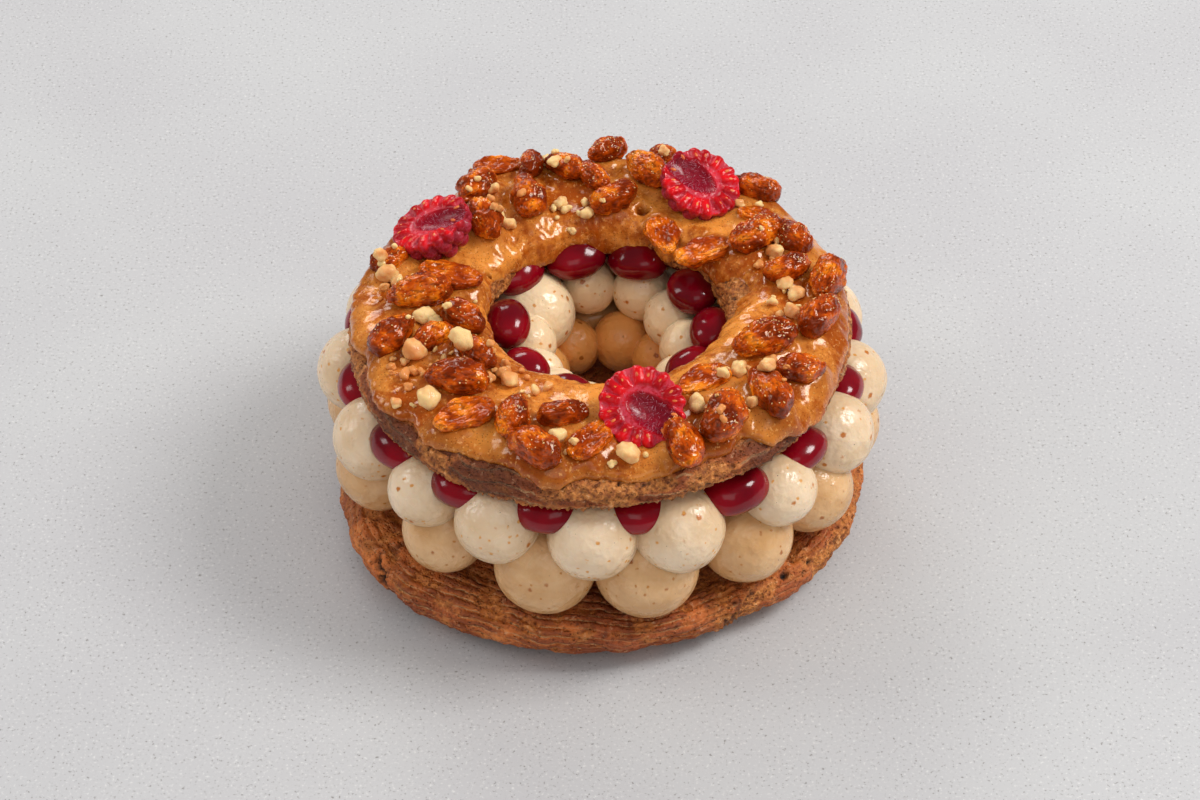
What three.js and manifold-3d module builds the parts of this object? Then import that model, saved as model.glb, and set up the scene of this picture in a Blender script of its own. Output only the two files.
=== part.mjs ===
// A filled choux ring: a split ring of choux pastry holding two rings of piped cream and one of
// red fruit gel, under a lid that is glazed with praline and set with candied nuts and berry halves.
// Millimetres, +Z up, resting on z = 0 with the ring's middle over the origin.
import * as THREE from 'three';
import { mergeVertices } from 'three/addons/utils/BufferGeometryUtils.js';
import Module from 'manifold-3d';

const wasm = await Module();
wasm.setup();

// ---------- driving dimensions ----------
const gap = 0.3;              // clearance kept between pieces that touch
const ringSteps = 36;         // facets round each ring
const mergeWithin = 0.1;      // facets that a cut has split are joined if they lie this close
const degree = Math.PI / 180;

const base = { radius: 62.5, foot: 50, holeRadius: 22, height: 14, rim: 0.5, x: 1, y: 0 };
const hole = { x: 1.5, y: 8 };               // the fillings' hole sits towards the back
const lower = { z: 25.7, outerBall: 11.6, ring: 53.6, innerBall: 7.4, innerRing: 18.5, squash: 0.97 };
const upper = { z: 38, outerBall: 10.3, ring: 57, innerBall: 8.1, innerRing: 24, squash: 0.98 };
const gel = { z: 44, top: 48.2, outerRing: 57.2, innerRing: 25.6 };
const lid = { radius: 59, x: -1.6, y: -1.2, bottom: 49, crown: 58.4, edgeDrop: 1.6, lean: 0.016 };
const lidHole = { radius: 29.3, x: 2, y: 2.2 };
const glaze = { thick: 2.7, inset: 1.4, lip: 58.8, hangs: 55.8, lobes: 9, lobeReach: 0.8 };
const nut = { length: 14, width: 8.4, height: 7.6, lift: 0.5 };
const berry = { length: 20, width: 19, depth: 8.6, wall: 5.2 };

// ---------- colours ----------
const chouxBrown = '#a0603a';
const praline = '#c98f55';
const caramel = '#95330a';

// ---------- helpers ----------
const round = (angle, radius, x = 0, y = 0) => [
  x + radius * Math.cos(angle * degree),
  y + radius * Math.sin(angle * degree),
];

// A closed geometry as a manifold solid, turned right side out if its faces point in.
function solidOf(geometry) {
  geometry.deleteAttribute('normal');
  geometry.deleteAttribute('uv');
  const merged = mergeVertices(geometry, 1e-4);
  const vertProperties = new Float32Array(merged.attributes.position.array);
  const triVerts = new Uint32Array(merged.index.array);
  const solid = new wasm.Manifold(new wasm.Mesh({ numProp: 3, vertProperties, triVerts }));
  if (solid.volume() > 0) return solid;
  return new wasm.Manifold(new wasm.Mesh({ numProp: 3, vertProperties, triVerts: triVerts.reverse() }));
}

// The largest connected body of a solid, so that a cut leaves no loose slivers.
function mainBody(solid) {
  return solid.decompose().reduce((best, body) => (body.volume() > best.volume() ? body : best));
}

function meshOf(name, solid, color, roughness) {
  const { vertProperties, triVerts } = mainBody(solid).asOriginal().simplify(mergeWithin).getMesh();
  const geometry = new THREE.BufferGeometry();
  geometry.setAttribute('position', new THREE.BufferAttribute(vertProperties, 3));
  geometry.setIndex(new THREE.BufferAttribute(triVerts, 1));
  const mesh = new THREE.Mesh(geometry, new THREE.MeshStandardMaterial({ color, roughness, metalness: 0 }));
  mesh.name = name;
  return mesh;
}

const cut = (solid, ...tools) => tools.reduce((rest, tool) => rest.subtract(tool), solid);

// Moves every vertex of a geometry by a rule that takes and returns [x, y, z].
function reshape(geometry, rule) {
  const { position } = geometry.attributes;
  for (let i = 0; i < position.count; i += 1) {
    position.setXYZ(i, ...rule(position.getX(i), position.getY(i), position.getZ(i)));
  }
  return geometry;
}

// An outline of [radius, height] points pushed outwards by a distance.
function grown(outline, distance) {
  const last = outline.length - 1;
  return outline.map(([r, z], i) => {
    const [r0, z0] = outline[i === 0 ? last : i - 1];
    const [r1, z1] = outline[i === last ? 0 : i + 1];
    const along = new THREE.Vector2(r1 - r0, z1 - z0).normalize();
    return [r + along.y * distance, z - along.x * distance];
  });
}

// An outline, anticlockwise in [radius, height], turned about Z into a closed ring.
function ring(outline, rule) {
  const points = [...outline, outline[0]].map(([r, z]) => new THREE.Vector2(r, z));
  const geometry = new THREE.LatheGeometry(points, ringSteps);
  geometry.rotateX(Math.PI / 2);
  return solidOf(reshape(geometry, rule));
}

// Shifts a ring's inner side towards a hole that is off centre, and the outer side by an offset.
function offCentre(outerRadius, innerRadius, outer, inner, wobble = () => 0) {
  return (x, y, z) => {
    const r = Math.hypot(x, y);
    const inward = THREE.MathUtils.clamp((outerRadius - r) / (outerRadius - innerRadius), 0, 1);
    const swell = 1 + (wobble(Math.atan2(y, x)) * (1 - inward)) / outerRadius;
    return [
      x * swell + THREE.MathUtils.lerp(outer.x, inner.x, inward),
      y * swell + THREE.MathUtils.lerp(outer.y, inner.y, inward),
      z,
    ];
  };
}

// ---------- choux base ----------
const baseOutline = [
  [30, 0],
  [base.foot, 0],
  [56.5, 1.8],
  [61, 5.8],
  [base.radius, 10],
  [61.6, base.height],
  [58.6, base.height + base.rim],
  [54.5, base.height],
  [30, base.height],
  [23.6, 12.6],
  [base.holeRadius, 8.6],
  [24.5, 2.4],
];
const baseWobble = (a) => 0.8 * Math.sin(2 * a + 0.6) + 0.6 * Math.sin(3 * a + 2.1) + 0.4 * Math.sin(7 * a);
const baseRing = (growth) => ring(
  grown(baseOutline, growth),
  offCentre(base.radius, base.holeRadius, base, { x: hole.x, y: 5 }, baseWobble),
);

// ---------- rings of piped balls ----------
const sizeSwing = [0, 0.03, -0.02, 0.02, -0.03, 0.01, -0.01];   // uneven piping, repeated round the ring

const turnBetween = (from, to) => THREE.MathUtils.euclideanModulo(to - from + 180, 360) - 180;

// The bearing reached after a number of balls, counted with fractions along a list of bearings.
function bearingAt(bearings, count) {
  const i = Math.floor(count) % bearings.length;
  const next = i + 1 < bearings.length ? bearings[i + 1] : bearings[0] + 360;
  return THREE.MathUtils.lerp(bearings[i], next, count - Math.floor(count));
}

// How a side's skin lies at a bearing: the ball nearest to it, sliced as far along as the bearing is.
// Between balls the slice shrinks to a cleft and its middle sinks in towards the ring's body.
function sliceAt(side, bearing) {
  const turns = side.bearings.map((other) => Math.abs(turnBetween(other, bearing)));
  const nearest = turns.indexOf(Math.min(...turns));
  const own = side.own(side.bearings[nearest]);
  const size = own.size * (1 + sizeSwing[nearest % sizeSwing.length]);
  const radius = side.ring + own.ring;
  const [halfAlong, halfOut, halfUp] = side.half.map((half) => half * size);
  const along = (radius * turns[nearest] * degree) / halfAlong;
  const full = Math.max(side.cleft, Math.sqrt(Math.max(0, 1 - along * along)));
  return { radius, sunk: halfOut * side.sink * (1 - full), reach: halfOut * full, rise: halfUp * full };
}

// A ring of balls outside and another round the hole, in one closed skin that dips between them.
// The skin's section has a channel above and below, between an outer and an inner half round.
function pipedRing(layer, growth) {
  const { outer, inner, channel, sides, ballSteps, wrap } = layer;
  const steps = outer.bearings.length * ballSteps;
  const tube = new THREE.TorusGeometry(2, 1, sides, steps);
  return solidOf(reshape(tube, (x, y, z) => {
    const turned = THREE.MathUtils.euclideanModulo(Math.atan2(y, x) / degree, 360);
    const bearing = bearingAt(outer.bearings, Math.round((turned / 360) * steps) / ballSteps);
    const around = Math.atan2(z, Math.hypot(x, y) - 2);
    if (Math.abs(Math.cos(around)) < 0.01) {
      const middle = round(bearing, (outer.ring + inner.ring) / 2, hole.x / 2, hole.y / 2);
      return [...middle, z > 0 ? channel.top + growth : channel.bottom - growth];
    }
    const outside = Math.cos(around) > 0;
    const side = outside ? outer : inner;
    const slice = sliceAt(side, bearing);
    const steep = (outside ? around : Math.PI - around) * wrap;
    const out = (slice.reach + growth) * Math.cos(steep) - slice.sunk;
    const place = outside
      ? round(bearing, slice.radius + out)
      : round(bearing, slice.radius - out, hole.x, hole.y);
    return [...place, side.z + (slice.rise + growth) * Math.sin(steep)];
  }));
}

// ---------- piped creams ----------
// Bearings, in degrees from +X, of the piped balls round the outside and round the hole.
const oval = (bearing) => ({ size: 1, ring: 1.2 * Math.cos(2 * bearing * degree) });
const backRow = (bearing) => ({
  size: bearing === 135 ? 1.25 : 1,          // one inner ball is piped larger than the rest
  ring: Math.sin(bearing * degree) > 0.6 ? 2.2 : 0,
});
const lowerLayer = {
  ballSteps: 4,
  sides: 12,
  channel: { bottom: lower.z - 8, top: lower.z + 4.6 },
  wrap: 1.38,
  outer: {
    bearings: [-161, -132, -104, -79, -52, -28, -3, 23, 48, 73, 98, 124, 149, 174],
    ring: lower.ring,
    z: lower.z,
    half: [lower.outerBall * 1.04, lower.outerBall, lower.outerBall * lower.squash],
    cleft: 0.4,
    sink: 0.6,
    own: oval,
  },
  inner: {
    bearings: [-160, -126, -92, -58, -24, 10, 44, 79, 116, 152],
    ring: lower.innerRing,
    z: lower.z + 0.5,
    half: [lower.innerBall, lower.innerBall, lower.innerBall],
    cleft: 0.5,
    sink: 0.4,
    own: () => ({ size: 1, ring: 0 }),
  },
};
const upperLayer = {
  ballSteps: 4,
  sides: 12,
  channel: { bottom: upper.z - 5.4, top: upper.z + 4.4 },
  wrap: 1.38,
  outer: {
    bearings: [-157, -135, -115, -92, -72, -45, -21, -2, 22, 45, 67, 89, 112, 134, 156, 178],
    ring: upper.ring,
    z: upper.z,
    half: [upper.outerBall, upper.outerBall, upper.outerBall * upper.squash],
    cleft: 0.4,
    sink: 0.6,
    own: oval,
  },
  inner: {
    bearings: [-152, -128, -103, -65, -32, 4, 38, 70, 99, 135, 172],
    ring: upper.innerRing,
    z: upper.z + 0.5,
    half: [upper.innerBall, upper.innerBall, upper.innerBall],
    cleft: 0.5,
    sink: 0.4,
    own: backRow,
  },
};

// ---------- choux lid and its praline glaze ----------
const bandWidth = lid.radius - lidHole.radius;
const across = [0.03, 0.12, 0.32, 0.68, 0.88, 0.97];   // steps from the lid's outer edge to its hole

// Height above the lid's edge line at a place across the band, 0 outside and 1 at the hole.
const dome = (u) => -lid.edgeDrop * Math.abs(2 * u - 1) ** 3;
const topPoint = (u, lift) => [lid.radius - u * bandWidth, lid.crown + lift + dome(u)];

const lidOutline = [
  [lidHole.radius + 1, lid.bottom],
  [lid.radius - 1.6, lid.bottom - 0.2],
  [lid.radius + 0.4, lid.bottom + 1.6],
  [lid.radius + 0.4, lid.bottom + 4],
  [lid.radius, lid.bottom + 6.4],
  ...across.map((u) => topPoint(u, 0)),
  [lidHole.radius - 0.4, lid.bottom + 2.6],
];
const lidWobble = (a) => 1.1 * Math.cos(a + 0.7) + 0.5 * Math.sin(3 * a) + 0.4 * Math.sin(5 * a + 1);
function lidRule(wobble) {
  const place = offCentre(lid.radius, lidHole.radius, lid, lidHole, wobble);
  return (x, y, z) => {
    const [px, py] = place(x, y, z);
    return [px, py, z + px * lid.lean];
  };
}
const lidRing = (growth) => ring(grown(lidOutline, growth), lidRule(lidWobble));

// The glaze is a shell on the lid's top. It stops short of the outer edge in uneven lobes, which
// leaves the baked side of the lid bare, and runs down a little way into the hole.
const lobe = (a) => Math.sin(glaze.lobes * a) + 0.6 * Math.sin(4 * a + 1.3);
const glazeAcross = [0.07, 0.14, 0.32, 0.68, 0.88, 0.97];
const glazeOutline = [
  ...glazeAcross.map((u) => topPoint(u, gap)).reverse(),
  [lid.radius - glaze.inset, glaze.lip],
  ...glazeAcross.slice(1, -1).map((u) => topPoint(u, glaze.thick)),
  [lidHole.radius - 1.1, glaze.hangs],
  [lidHole.radius - 0.9, glaze.hangs - 1.6],
];
function glazeRule(x, y, z) {
  const atLip = Math.hypot(x, y) > lid.radius - glaze.inset - 0.2;
  const grows = atLip ? 1 + (glaze.lobeReach * (1.6 + lobe(Math.atan2(y, x)))) / lid.radius : 1;
  return lidRule(lidWobble)(x * grows, y * grows, z);
}
const glazeRing = (growth) => ring(grown(glazeOutline, growth), glazeRule);

// Height of the glaze's top surface over a point of the lid.
function glazeTop(x, y) {
  const fromEdge = lid.radius - Math.hypot(x - lid.x, y - lid.y);
  const fromHole = Math.hypot(x - lidHole.x, y - lidHole.y) - lidHole.radius;
  const u = THREE.MathUtils.clamp(fromEdge / (fromEdge + fromHole), 0, 1);
  return lid.crown + glaze.thick + dome(u) + x * lid.lean;
}

// Turns a piece to lie on the glaze at a point, along a bearing, leaning with the slope.
function layOnGlaze(geometry, x, y, turn, lift, tip = 0) {
  const step = 2;
  const slopeX = (glazeTop(x + step, y) - glazeTop(x - step, y)) / (2 * step);
  const slopeY = (glazeTop(x, y + step) - glazeTop(x, y - step)) / (2 * step);
  const normal = new THREE.Vector3(-slopeX, -slopeY, 1).normalize();
  const lean = new THREE.Quaternion().setFromUnitVectors(new THREE.Vector3(0, 0, 1), normal);
  geometry.rotateZ(turn * degree);
  geometry.applyQuaternion(lean);
  geometry.rotateX(tip * degree);
  geometry.translate(x, y, glazeTop(x, y) + lift);
  return geometry;
}

// ---------- red fruit gel ----------
// A thin layer under the lid, squeezed out in dollops between the balls of cream on both sides.
const bigDollops = [-57, -33, -11];          // where the balls of cream stand furthest apart
const gelLayer = {
  ballSteps: 3,
  sides: 8,
  channel: { bottom: upper.z + 4.4 + gap, top: gel.top },
  wrap: 1.7,
  outer: {
    bearings: [-169, -146, -125, -103, -82, -57, -33, -11, 10, 33, 56, 78, 101, 123, 145, 167],
    ring: gel.outerRing,
    z: gel.z,
    half: [8.2, 6, 4.8],
    cleft: 0.15,
    sink: 1.4,
    own: (bearing) => ({ size: bigDollops.includes(bearing) ? 1.2 : 1, ring: oval(bearing).ring }),
  },
  inner: {
    bearings: [-147, -112, -80, -40, -1, 36, 77, 106, 134, 173],
    ring: gel.innerRing,
    z: gel.z + 3.2,
    half: [8.2, 6.2, 4],
    cleft: 0.2,
    sink: 0.9,
    own: (bearing) => ({ size: 1, ring: backRow(bearing).ring }),
  },
};

// ---------- candied nuts ----------
// Each nut: x and y on the lid, bearing of its long axis in degrees, size, and S for a split half.
const nuts = [
  [-26, 53, -3, 0.85, 'S'], [-31, 42, 57, 0.9], [-18, 51, 83, 0.7], [-18, 37, -80, 1], [-28, 28, -73, 0.95],
  [-9, 49, -41, 0.8], [-2, 45, -61, 0.75], [1, 57, 35, 0.8], [3, 37, 29, 0.9], [11, 47, -52, 0.95],
  [16, 55, -61, 0.65], [38, 41, -29, 0.85], [38, 31, -22, 0.7, 'S'], [37, 21, 35, 1], [46, 20, -61, 0.85],
  [24, 18, 29, 1, 'S'], [15, 25, -80, 0.95, 'S'], [44, 8, 29, 0.85], [53, 4, 73, 1], [50, -10, 61, 1],
  [37, -19, 29, 1.08], [45, -28, 15, 0.85], [38, -37, -61, 1], [23, -31, 35, 0.95, 'S'], [27, -45, 69, 1.1],
  [18, -53, -69, 0.95], [-3, -51, 57, 0.9, 'S'], [-9, -43, 8, 0.8], [-15, -54, -41, 1], [-20, -44, 77, 0.9],
  [-31, -42, 22, 1.02, 'S'], [-33, -31, -12, 1.02], [-49, -15, 52, 0.95], [-40, -16, 47, 0.8],
  [-32, -8, -41, 0.85], [-36, 8, -15, 1.05, 'S'], [-43, 0, 15, 1.05], [-51, 14, 29, 0.7], [-29, -21, -52, 0.85],
];

function nutSolid([x, y, turn, size, split], growth = 0) {
  const geometry = new THREE.SphereGeometry(1, 7, 4);
  geometry.rotateZ(Math.PI / 2);
  const taper = (gx) => 1 - 0.16 * gx;
  reshape(geometry, (gx, gy, gz) => [gx, gy * taper(gx), gz * taper(gx)]);
  const flat = split ? 0.62 : 1;
  const half = [nut.length, nut.width, nut.height * flat].map((side) => (side * size) / 2 + growth);
  geometry.scale(...half);
  return solidOf(layOnGlaze(geometry, x, y, turn, half[2] - growth + nut.lift));
}

// ---------- berry halves ----------
// Each half: x and y on the lid, bearing of the stem end, and how far the cut face tips forward.
const berries = [
  { name: 'raspberry_front', x: 8.5, y: -43, turn: -50, tip: 16, lift: 5.2 },
  { name: 'raspberry_left', x: -41, y: 23, turn: -8, tip: 14, lift: 5.2 },
  { name: 'raspberry_back', x: 24.5, y: 38, turn: 135, tip: 18, lift: 5.2 },
];

// A berry cut lengthwise: a bumpy half egg, cut face up, with the hollow left by its core.
function berrySolid({ x, y, turn, tip, lift }, growth = 0) {
  const egg = new THREE.SphereGeometry(1, 12, 8);
  egg.rotateZ(-Math.PI / 2);
  reshape(egg, (gx, gy, gz) => {
    const bump = 1 + 0.07 * Math.cos(6 * Math.atan2(gz, gy)) * Math.sin(4 * Math.acos(gx));
    const narrow = 1 + 0.16 * gx;
    return [gx * bump, gy * bump * narrow, gz * bump * narrow];
  });
  egg.scale(berry.length / 2 + growth, berry.width / 2 + growth, berry.depth + growth);
  const above = new THREE.BoxGeometry(3 * berry.length, 3 * berry.width, berry.length);
  above.translate(0, 0, berry.length / 2 + growth);
  let half = solidOf(egg).subtract(solidOf(above));
  if (growth === 0) {
    const core = new THREE.SphereGeometry(1, 8, 4);
    core.rotateZ(-Math.PI / 2);
    core.scale(berry.length / 2, berry.width / 2 - berry.wall, berry.depth - berry.wall + 1);
    core.translate(berry.wall, 0, 0.4);
    half = half.subtract(solidOf(core));
  }
  const { vertProperties, triVerts } = half.getMesh();
  const geometry = new THREE.BufferGeometry();
  geometry.setAttribute('position', new THREE.BufferAttribute(vertProperties, 3));
  geometry.setIndex(new THREE.BufferAttribute(triVerts, 1));
  return solidOf(layOnGlaze(geometry, x, y, turn, lift, tip));
}

// ---------- the assembled pastry ----------
const creamSkin = pipedRing(upperLayer, gap);
const lidSkin = lidRing(gap);
const glazeSkin = glazeRing(gap);
const layers = [
  ['choux_base', baseRing(0), chouxBrown, 0.8],
  ['cream_lower', cut(pipedRing(lowerLayer, 0), creamSkin), '#d8b27a', 0.45],
  ['cream_upper', cut(pipedRing(upperLayer, 0), lidSkin), '#eddcba', 0.45],
  ['fruit_gel', cut(pipedRing(gelLayer, 0), creamSkin, lidSkin), '#6e0414', 0.12],
  ['choux_lid', lidRing(0), chouxBrown, 0.8],
  ['praline_glaze', glazeRing(0), praline, 0.25],
];

// What is set on the glaze: the berries whole, then each nut cut clear of all that is there already.
const toppings = [];
const placed = [];
for (const half of berries) {
  toppings.push([half.name, cut(berrySolid(half), glazeSkin), '#a5122c', 0.5]);
  placed.push({ x: half.x, y: half.y, skin: berrySolid(half, gap) });
}
nuts.forEach((row, i) => {
  const [x, y] = row;
  const near = placed.filter((other) => Math.hypot(other.x - x, other.y - y) < berry.length);
  const solid = cut(nutSolid(row), glazeSkin, ...near.map((other) => other.skin));
  toppings.push([`nut_${String(i + 1).padStart(2, '0')}`, solid, caramel, 0.2]);
  placed.push({ x, y, skin: nutSolid(row, gap) });
});

// The outer faces of all the pieces set the origin: under the middle of their common box.
const part = new THREE.Group();
for (const piece of [...layers, ...toppings]) part.add(meshOf(...piece));
const bounds = new THREE.Box3().setFromObject(part);
const middle = bounds.getCenter(new THREE.Vector3());
part.position.set(-middle.x, -middle.y, -bounds.min.z);

export default part;
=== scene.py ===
from math import copysign, cos, pi, radians, sin

import bpy
import numpy as np
from mathutils import Matrix, Vector, noise
from mathutils.bvhtree import BVHTree


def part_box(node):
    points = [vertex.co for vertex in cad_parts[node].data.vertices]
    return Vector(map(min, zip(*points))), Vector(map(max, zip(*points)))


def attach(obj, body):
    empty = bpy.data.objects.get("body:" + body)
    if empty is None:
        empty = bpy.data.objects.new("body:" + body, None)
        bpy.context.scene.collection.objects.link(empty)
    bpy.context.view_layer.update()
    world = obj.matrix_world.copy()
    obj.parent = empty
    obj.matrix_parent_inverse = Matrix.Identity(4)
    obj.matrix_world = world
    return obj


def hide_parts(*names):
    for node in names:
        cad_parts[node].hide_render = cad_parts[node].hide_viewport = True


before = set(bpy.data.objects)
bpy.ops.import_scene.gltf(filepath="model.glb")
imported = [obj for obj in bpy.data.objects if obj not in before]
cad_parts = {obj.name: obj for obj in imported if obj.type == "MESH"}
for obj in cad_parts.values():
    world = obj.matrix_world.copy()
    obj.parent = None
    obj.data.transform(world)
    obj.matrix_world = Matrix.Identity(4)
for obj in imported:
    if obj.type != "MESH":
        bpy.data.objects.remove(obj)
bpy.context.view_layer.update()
mm = 0.001


# node trees written as expressions

class Wire:
    # one output of a node; sums and products of wires and numbers add their own Math nodes
    def __init__(self, bench, socket):
        self.bench = bench
        self.socket = socket

    def __add__(self, other):
        return self.bench.sum("ADD", self, other)

    def __sub__(self, other):
        return self.bench.sum("SUBTRACT", self, other)

    def __rsub__(self, other):
        return self.bench.sum("SUBTRACT", other, self)

    def __mul__(self, other):
        return self.bench.sum("MULTIPLY", self, other)

    def __rtruediv__(self, other):
        return self.bench.sum("DIVIDE", other, self)

    def __pow__(self, other):
        return self.bench.sum("POWER", self, other)

    __radd__ = __add__
    __rmul__ = __mul__


class Bench:
    # a node tree being built, for a material or for geometry
    def __init__(self, tree):
        self.tree = tree
        tree.nodes.clear()

    def add(self, kind, settings=None, sockets=None, out=0):
        node = self.tree.nodes.new(kind)
        for name, value in (settings or {}).items():
            setattr(node, name, value)
        for name, value in (sockets or {}).items():
            for each in value if isinstance(value, list) else [value]:
                self.feed(node.inputs[name], each)
        return Wire(self, node.outputs[out]) if node.outputs else node

    def feed(self, socket, value):
        if isinstance(value, Wire):
            self.tree.links.new(value.socket, socket)
        else:
            socket.default_value = value

    def sum(self, operation, first, second=0.0):
        return self.add("ShaderNodeMath", {"operation": operation}, {0: first, 1: second})

    def vector(self, operation, first, second):
        return self.add("ShaderNodeVectorMath", {"operation": operation}, {0: first, 1: second})

    def stretched(self, place, sizes):
        return self.vector("MULTIPLY", place, sizes)

    def scaled(self, place, amount):
        return self.add("ShaderNodeVectorMath", {"operation": "SCALE"}, {0: place, "Scale": amount})

    def split(self, place):
        # the three numbers of a vector
        node = self.add("ShaderNodeSeparateXYZ", {}, {0: place}).socket.node
        return [Wire(self, socket) for socket in node.outputs]

    def join(self, x, y, z):
        return self.add("ShaderNodeCombineXYZ", {}, {0: x, 1: y, 2: z})

    def blend(self, amount, *colours):
        # from the first colour to the second; each is a colour code or a wire
        first, second = (paint(each) if isinstance(each, str) else each for each in colours)
        return self.add("ShaderNodeMix", {"data_type": "RGBA"}, {0: amount, 6: first, 7: second}, 2)

    def between(self, value, low, high):
        # 0 below low, 1 above high and smooth in between
        sockets = {"Value": value, "From Min": low, "From Max": high}
        return self.add("ShaderNodeMapRange", {"interpolation_type": "SMOOTHSTEP"}, sockets)

    def cells(self, place, size, out=0):
        # the way to the nearest of scattered points about `size` mm apart; output 1 is a colour for each
        return self.add("ShaderNodeTexVoronoi", {}, {"Vector": place, "Scale": 1 / (size * mm)}, out)

    def noise(self, place, scale, detail=2.0, out=0):
        return self.add("ShaderNodeTexNoise", {}, {"Vector": place, "Scale": scale, "Detail": detail}, out)

    def attribute(self, name):
        return self.add("ShaderNodeAttribute", {"attribute_name": name}, None, 2)


def paint(code):
    # a colour code as linear red, green, blue and 1
    parts = [int(code[i:i + 2], 16) / 255 for i in (1, 3, 5)]
    linear = [part / 12.92 if part < 0.04045 else ((part + 0.055) / 1.055) ** 2.4 for part in parts]
    return (*linear, 1.0)


class Finish(Bench):
    # a material: its pattern is worked out first, and coat() turns it into one shader
    def __init__(self, name):
        self.material = bpy.data.materials.new(name)
        self.material.use_nodes = True
        super().__init__(self.material.node_tree)
        self.place = self.add("ShaderNodeTexCoord", out=3)

    def grain(self, size, detail=2.0, rough=0.5, wander=0.0):
        # soft random patches about `size` mm across
        sockets = {"Vector": self.place, "Scale": 0.5 / (size * mm), "Detail": detail, "Roughness": rough}
        return self.add("ShaderNodeTexNoise", {}, {**sockets, "Distortion": wander})

    def coat(self, colour, rough, bumps=(), glow=None, **fixed):
        # bumps are heights with their depth in mm; glow is how much light goes in, and how far in metres
        sockets = {"Base Color": colour, "Roughness": rough}
        if glow:
            sockets["Subsurface Weight"], sockets["Subsurface Radius"] = glow
            sockets["Subsurface Scale"] = 1.0
        normal = None
        for height, depth in bumps:
            extra = {"Normal": normal} if normal else {}
            normal = self.add("ShaderNodeBump", {}, {"Height": height, "Distance": depth * mm, **extra})
        if normal:
            sockets["Normal"] = normal
        shader = self.add("ShaderNodeBsdfPrincipled", {}, {**sockets, **fixed})
        self.add("ShaderNodeOutputMaterial", {}, {"Surface": shader})
        return self.material


# meshes

def newObject(name, data):
    made = bpy.data.objects.new(name, data)
    bpy.context.scene.collection.objects.link(made)
    return made


def meshPiece(name, points, faces):
    # a new smooth object from points in mm
    mesh = bpy.data.meshes.new(name)
    mesh.from_pydata((np.asarray(points) * mm).tolist(), [], faces)
    mesh.shade_smooth()
    return newObject(name, mesh)


def mark(piece, **values):
    # numbers kept at each point for the piece's material
    for key, value in values.items():
        layer = piece.data.attributes.new(key, "FLOAT", "POINT")
        layer.data.foreach_set("value", value.astype(np.float32))


def pointsOf(mesh):
    places = np.zeros(len(mesh.vertices) * 3)
    mesh.vertices.foreach_get("co", places)
    return places.reshape(-1, 3) / mm


def setPoints(mesh, places):
    mesh.vertices.foreach_set("co", (places * mm).ravel())
    mesh.update()


def nodeBox(name):
    low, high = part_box(name)
    return np.array(low) / mm, np.array(high) / mm


def settle(piece, name):
    # gives a piece the height of the CAD node that it stands for
    places = pointsOf(piece.data)
    low, high = nodeBox(name)
    up = places[:, 2]
    places[:, 2] = low[2] + (up - up.min()) * (high[2] - low[2]) / (up.max() - up.min())
    setPoints(piece.data, places)


def waves(places, size, octaves=2, seed=0.0):
    # smooth random heights from about -1 to 1, with features about `size` mm across
    scaled = (places / size + seed * 7.31).tolist()
    return np.array([noise.fractal(p, 1.0, 2.0, octaves) for p in scaled])


def pits(places, size, share, seed=0.0):
    # round holes about `size` mm apart: 1 at the middle of a hole and 0 outside it
    scaled = (places / size + seed * 3.17).tolist()
    near = np.array([noise.voronoi(p)[0][0] for p in scaled])
    return np.clip(1 - near / share, 0, 1)


def smoothstep(value, low, high):
    x = np.clip((value - low) / (high - low), 0, 1)
    return x * x * (3 - 2 * x)


def window(turn, middle, half, soft):
    # 1 for bearings within half of the middle, falling to 0 over the soft edge; degrees
    away = np.abs((turn - middle + 180) % 360 - 180)
    return 1 - smoothstep(away, half, half + soft)


def outlinePoints(corners, step):
    # a smooth closed line through corners of [out, up, how fine], as points about `step` mm apart
    rows = np.array(corners, float)
    found = []
    for i in range(len(rows)):
        a, b, c, d = (rows[(i + k - 1) % len(rows)] for k in range(4))
        count = max(2, int(np.linalg.norm(c[:2] - b[:2]) / step * (b[2] + c[2]) / 2))
        for t in np.arange(count) / count:
            spline = b * 2 + (c - a) * t + (2 * a - 5 * b + 4 * c - d) * t ** 2
            spline = spline + (3 * b - a - 3 * c + d) * t ** 3
            found.append(spline[:2] / 2)
    return np.array(found)


def closedGrid(rows, columns):
    # quads of a tube that closes both ways
    faces = []
    for i in range(rows):
        j = (i + 1) % rows
        for k in range(columns):
            n = (k + 1) % columns
            faces.append((i * columns + k, j * columns + k, j * columns + n, i * columns + n))
    return faces


def onRing(turn, radius, centre=(0, 0)):
    angle = np.radians(turn)
    return centre[0] + radius * np.cos(angle), centre[1] + radius * np.sin(angle)


def roundTheRing(marks, turn):
    # a smooth value at any bearing from a few marks of [bearing, value]
    bearings, values = np.array(marks, float).T
    bearings = np.concatenate([bearings[-2:] - 360, bearings, bearings[:2] + 360])
    values = np.concatenate([values[-2:], values, values[:2]])
    after = np.clip(np.searchsorted(bearings, turn), 1, len(bearings) - 1)
    t = (turn - bearings[after - 1]) / (bearings[after] - bearings[after - 1])
    return values[after - 1] + (values[after] - values[after - 1]) * t * t * (3 - 2 * t)


def faceNormals(piece):
    found = np.zeros(len(piece.data.vertices) * 3)
    piece.data.vertex_normals.foreach_get("vector", found)
    return found.reshape(-1, 3)


def finishPiece(piece, slot, *nodes):
    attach(piece, "root")
    if nodes:
        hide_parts(*nodes)
    count = sum(len(p.vertices) - 2 for p in piece.data.polygons)
    print(f"{piece.name}: {count} triangles, up to {pointsOf(piece.data)[:, 2].max():.1f} mm")


# geometry nodes

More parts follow.
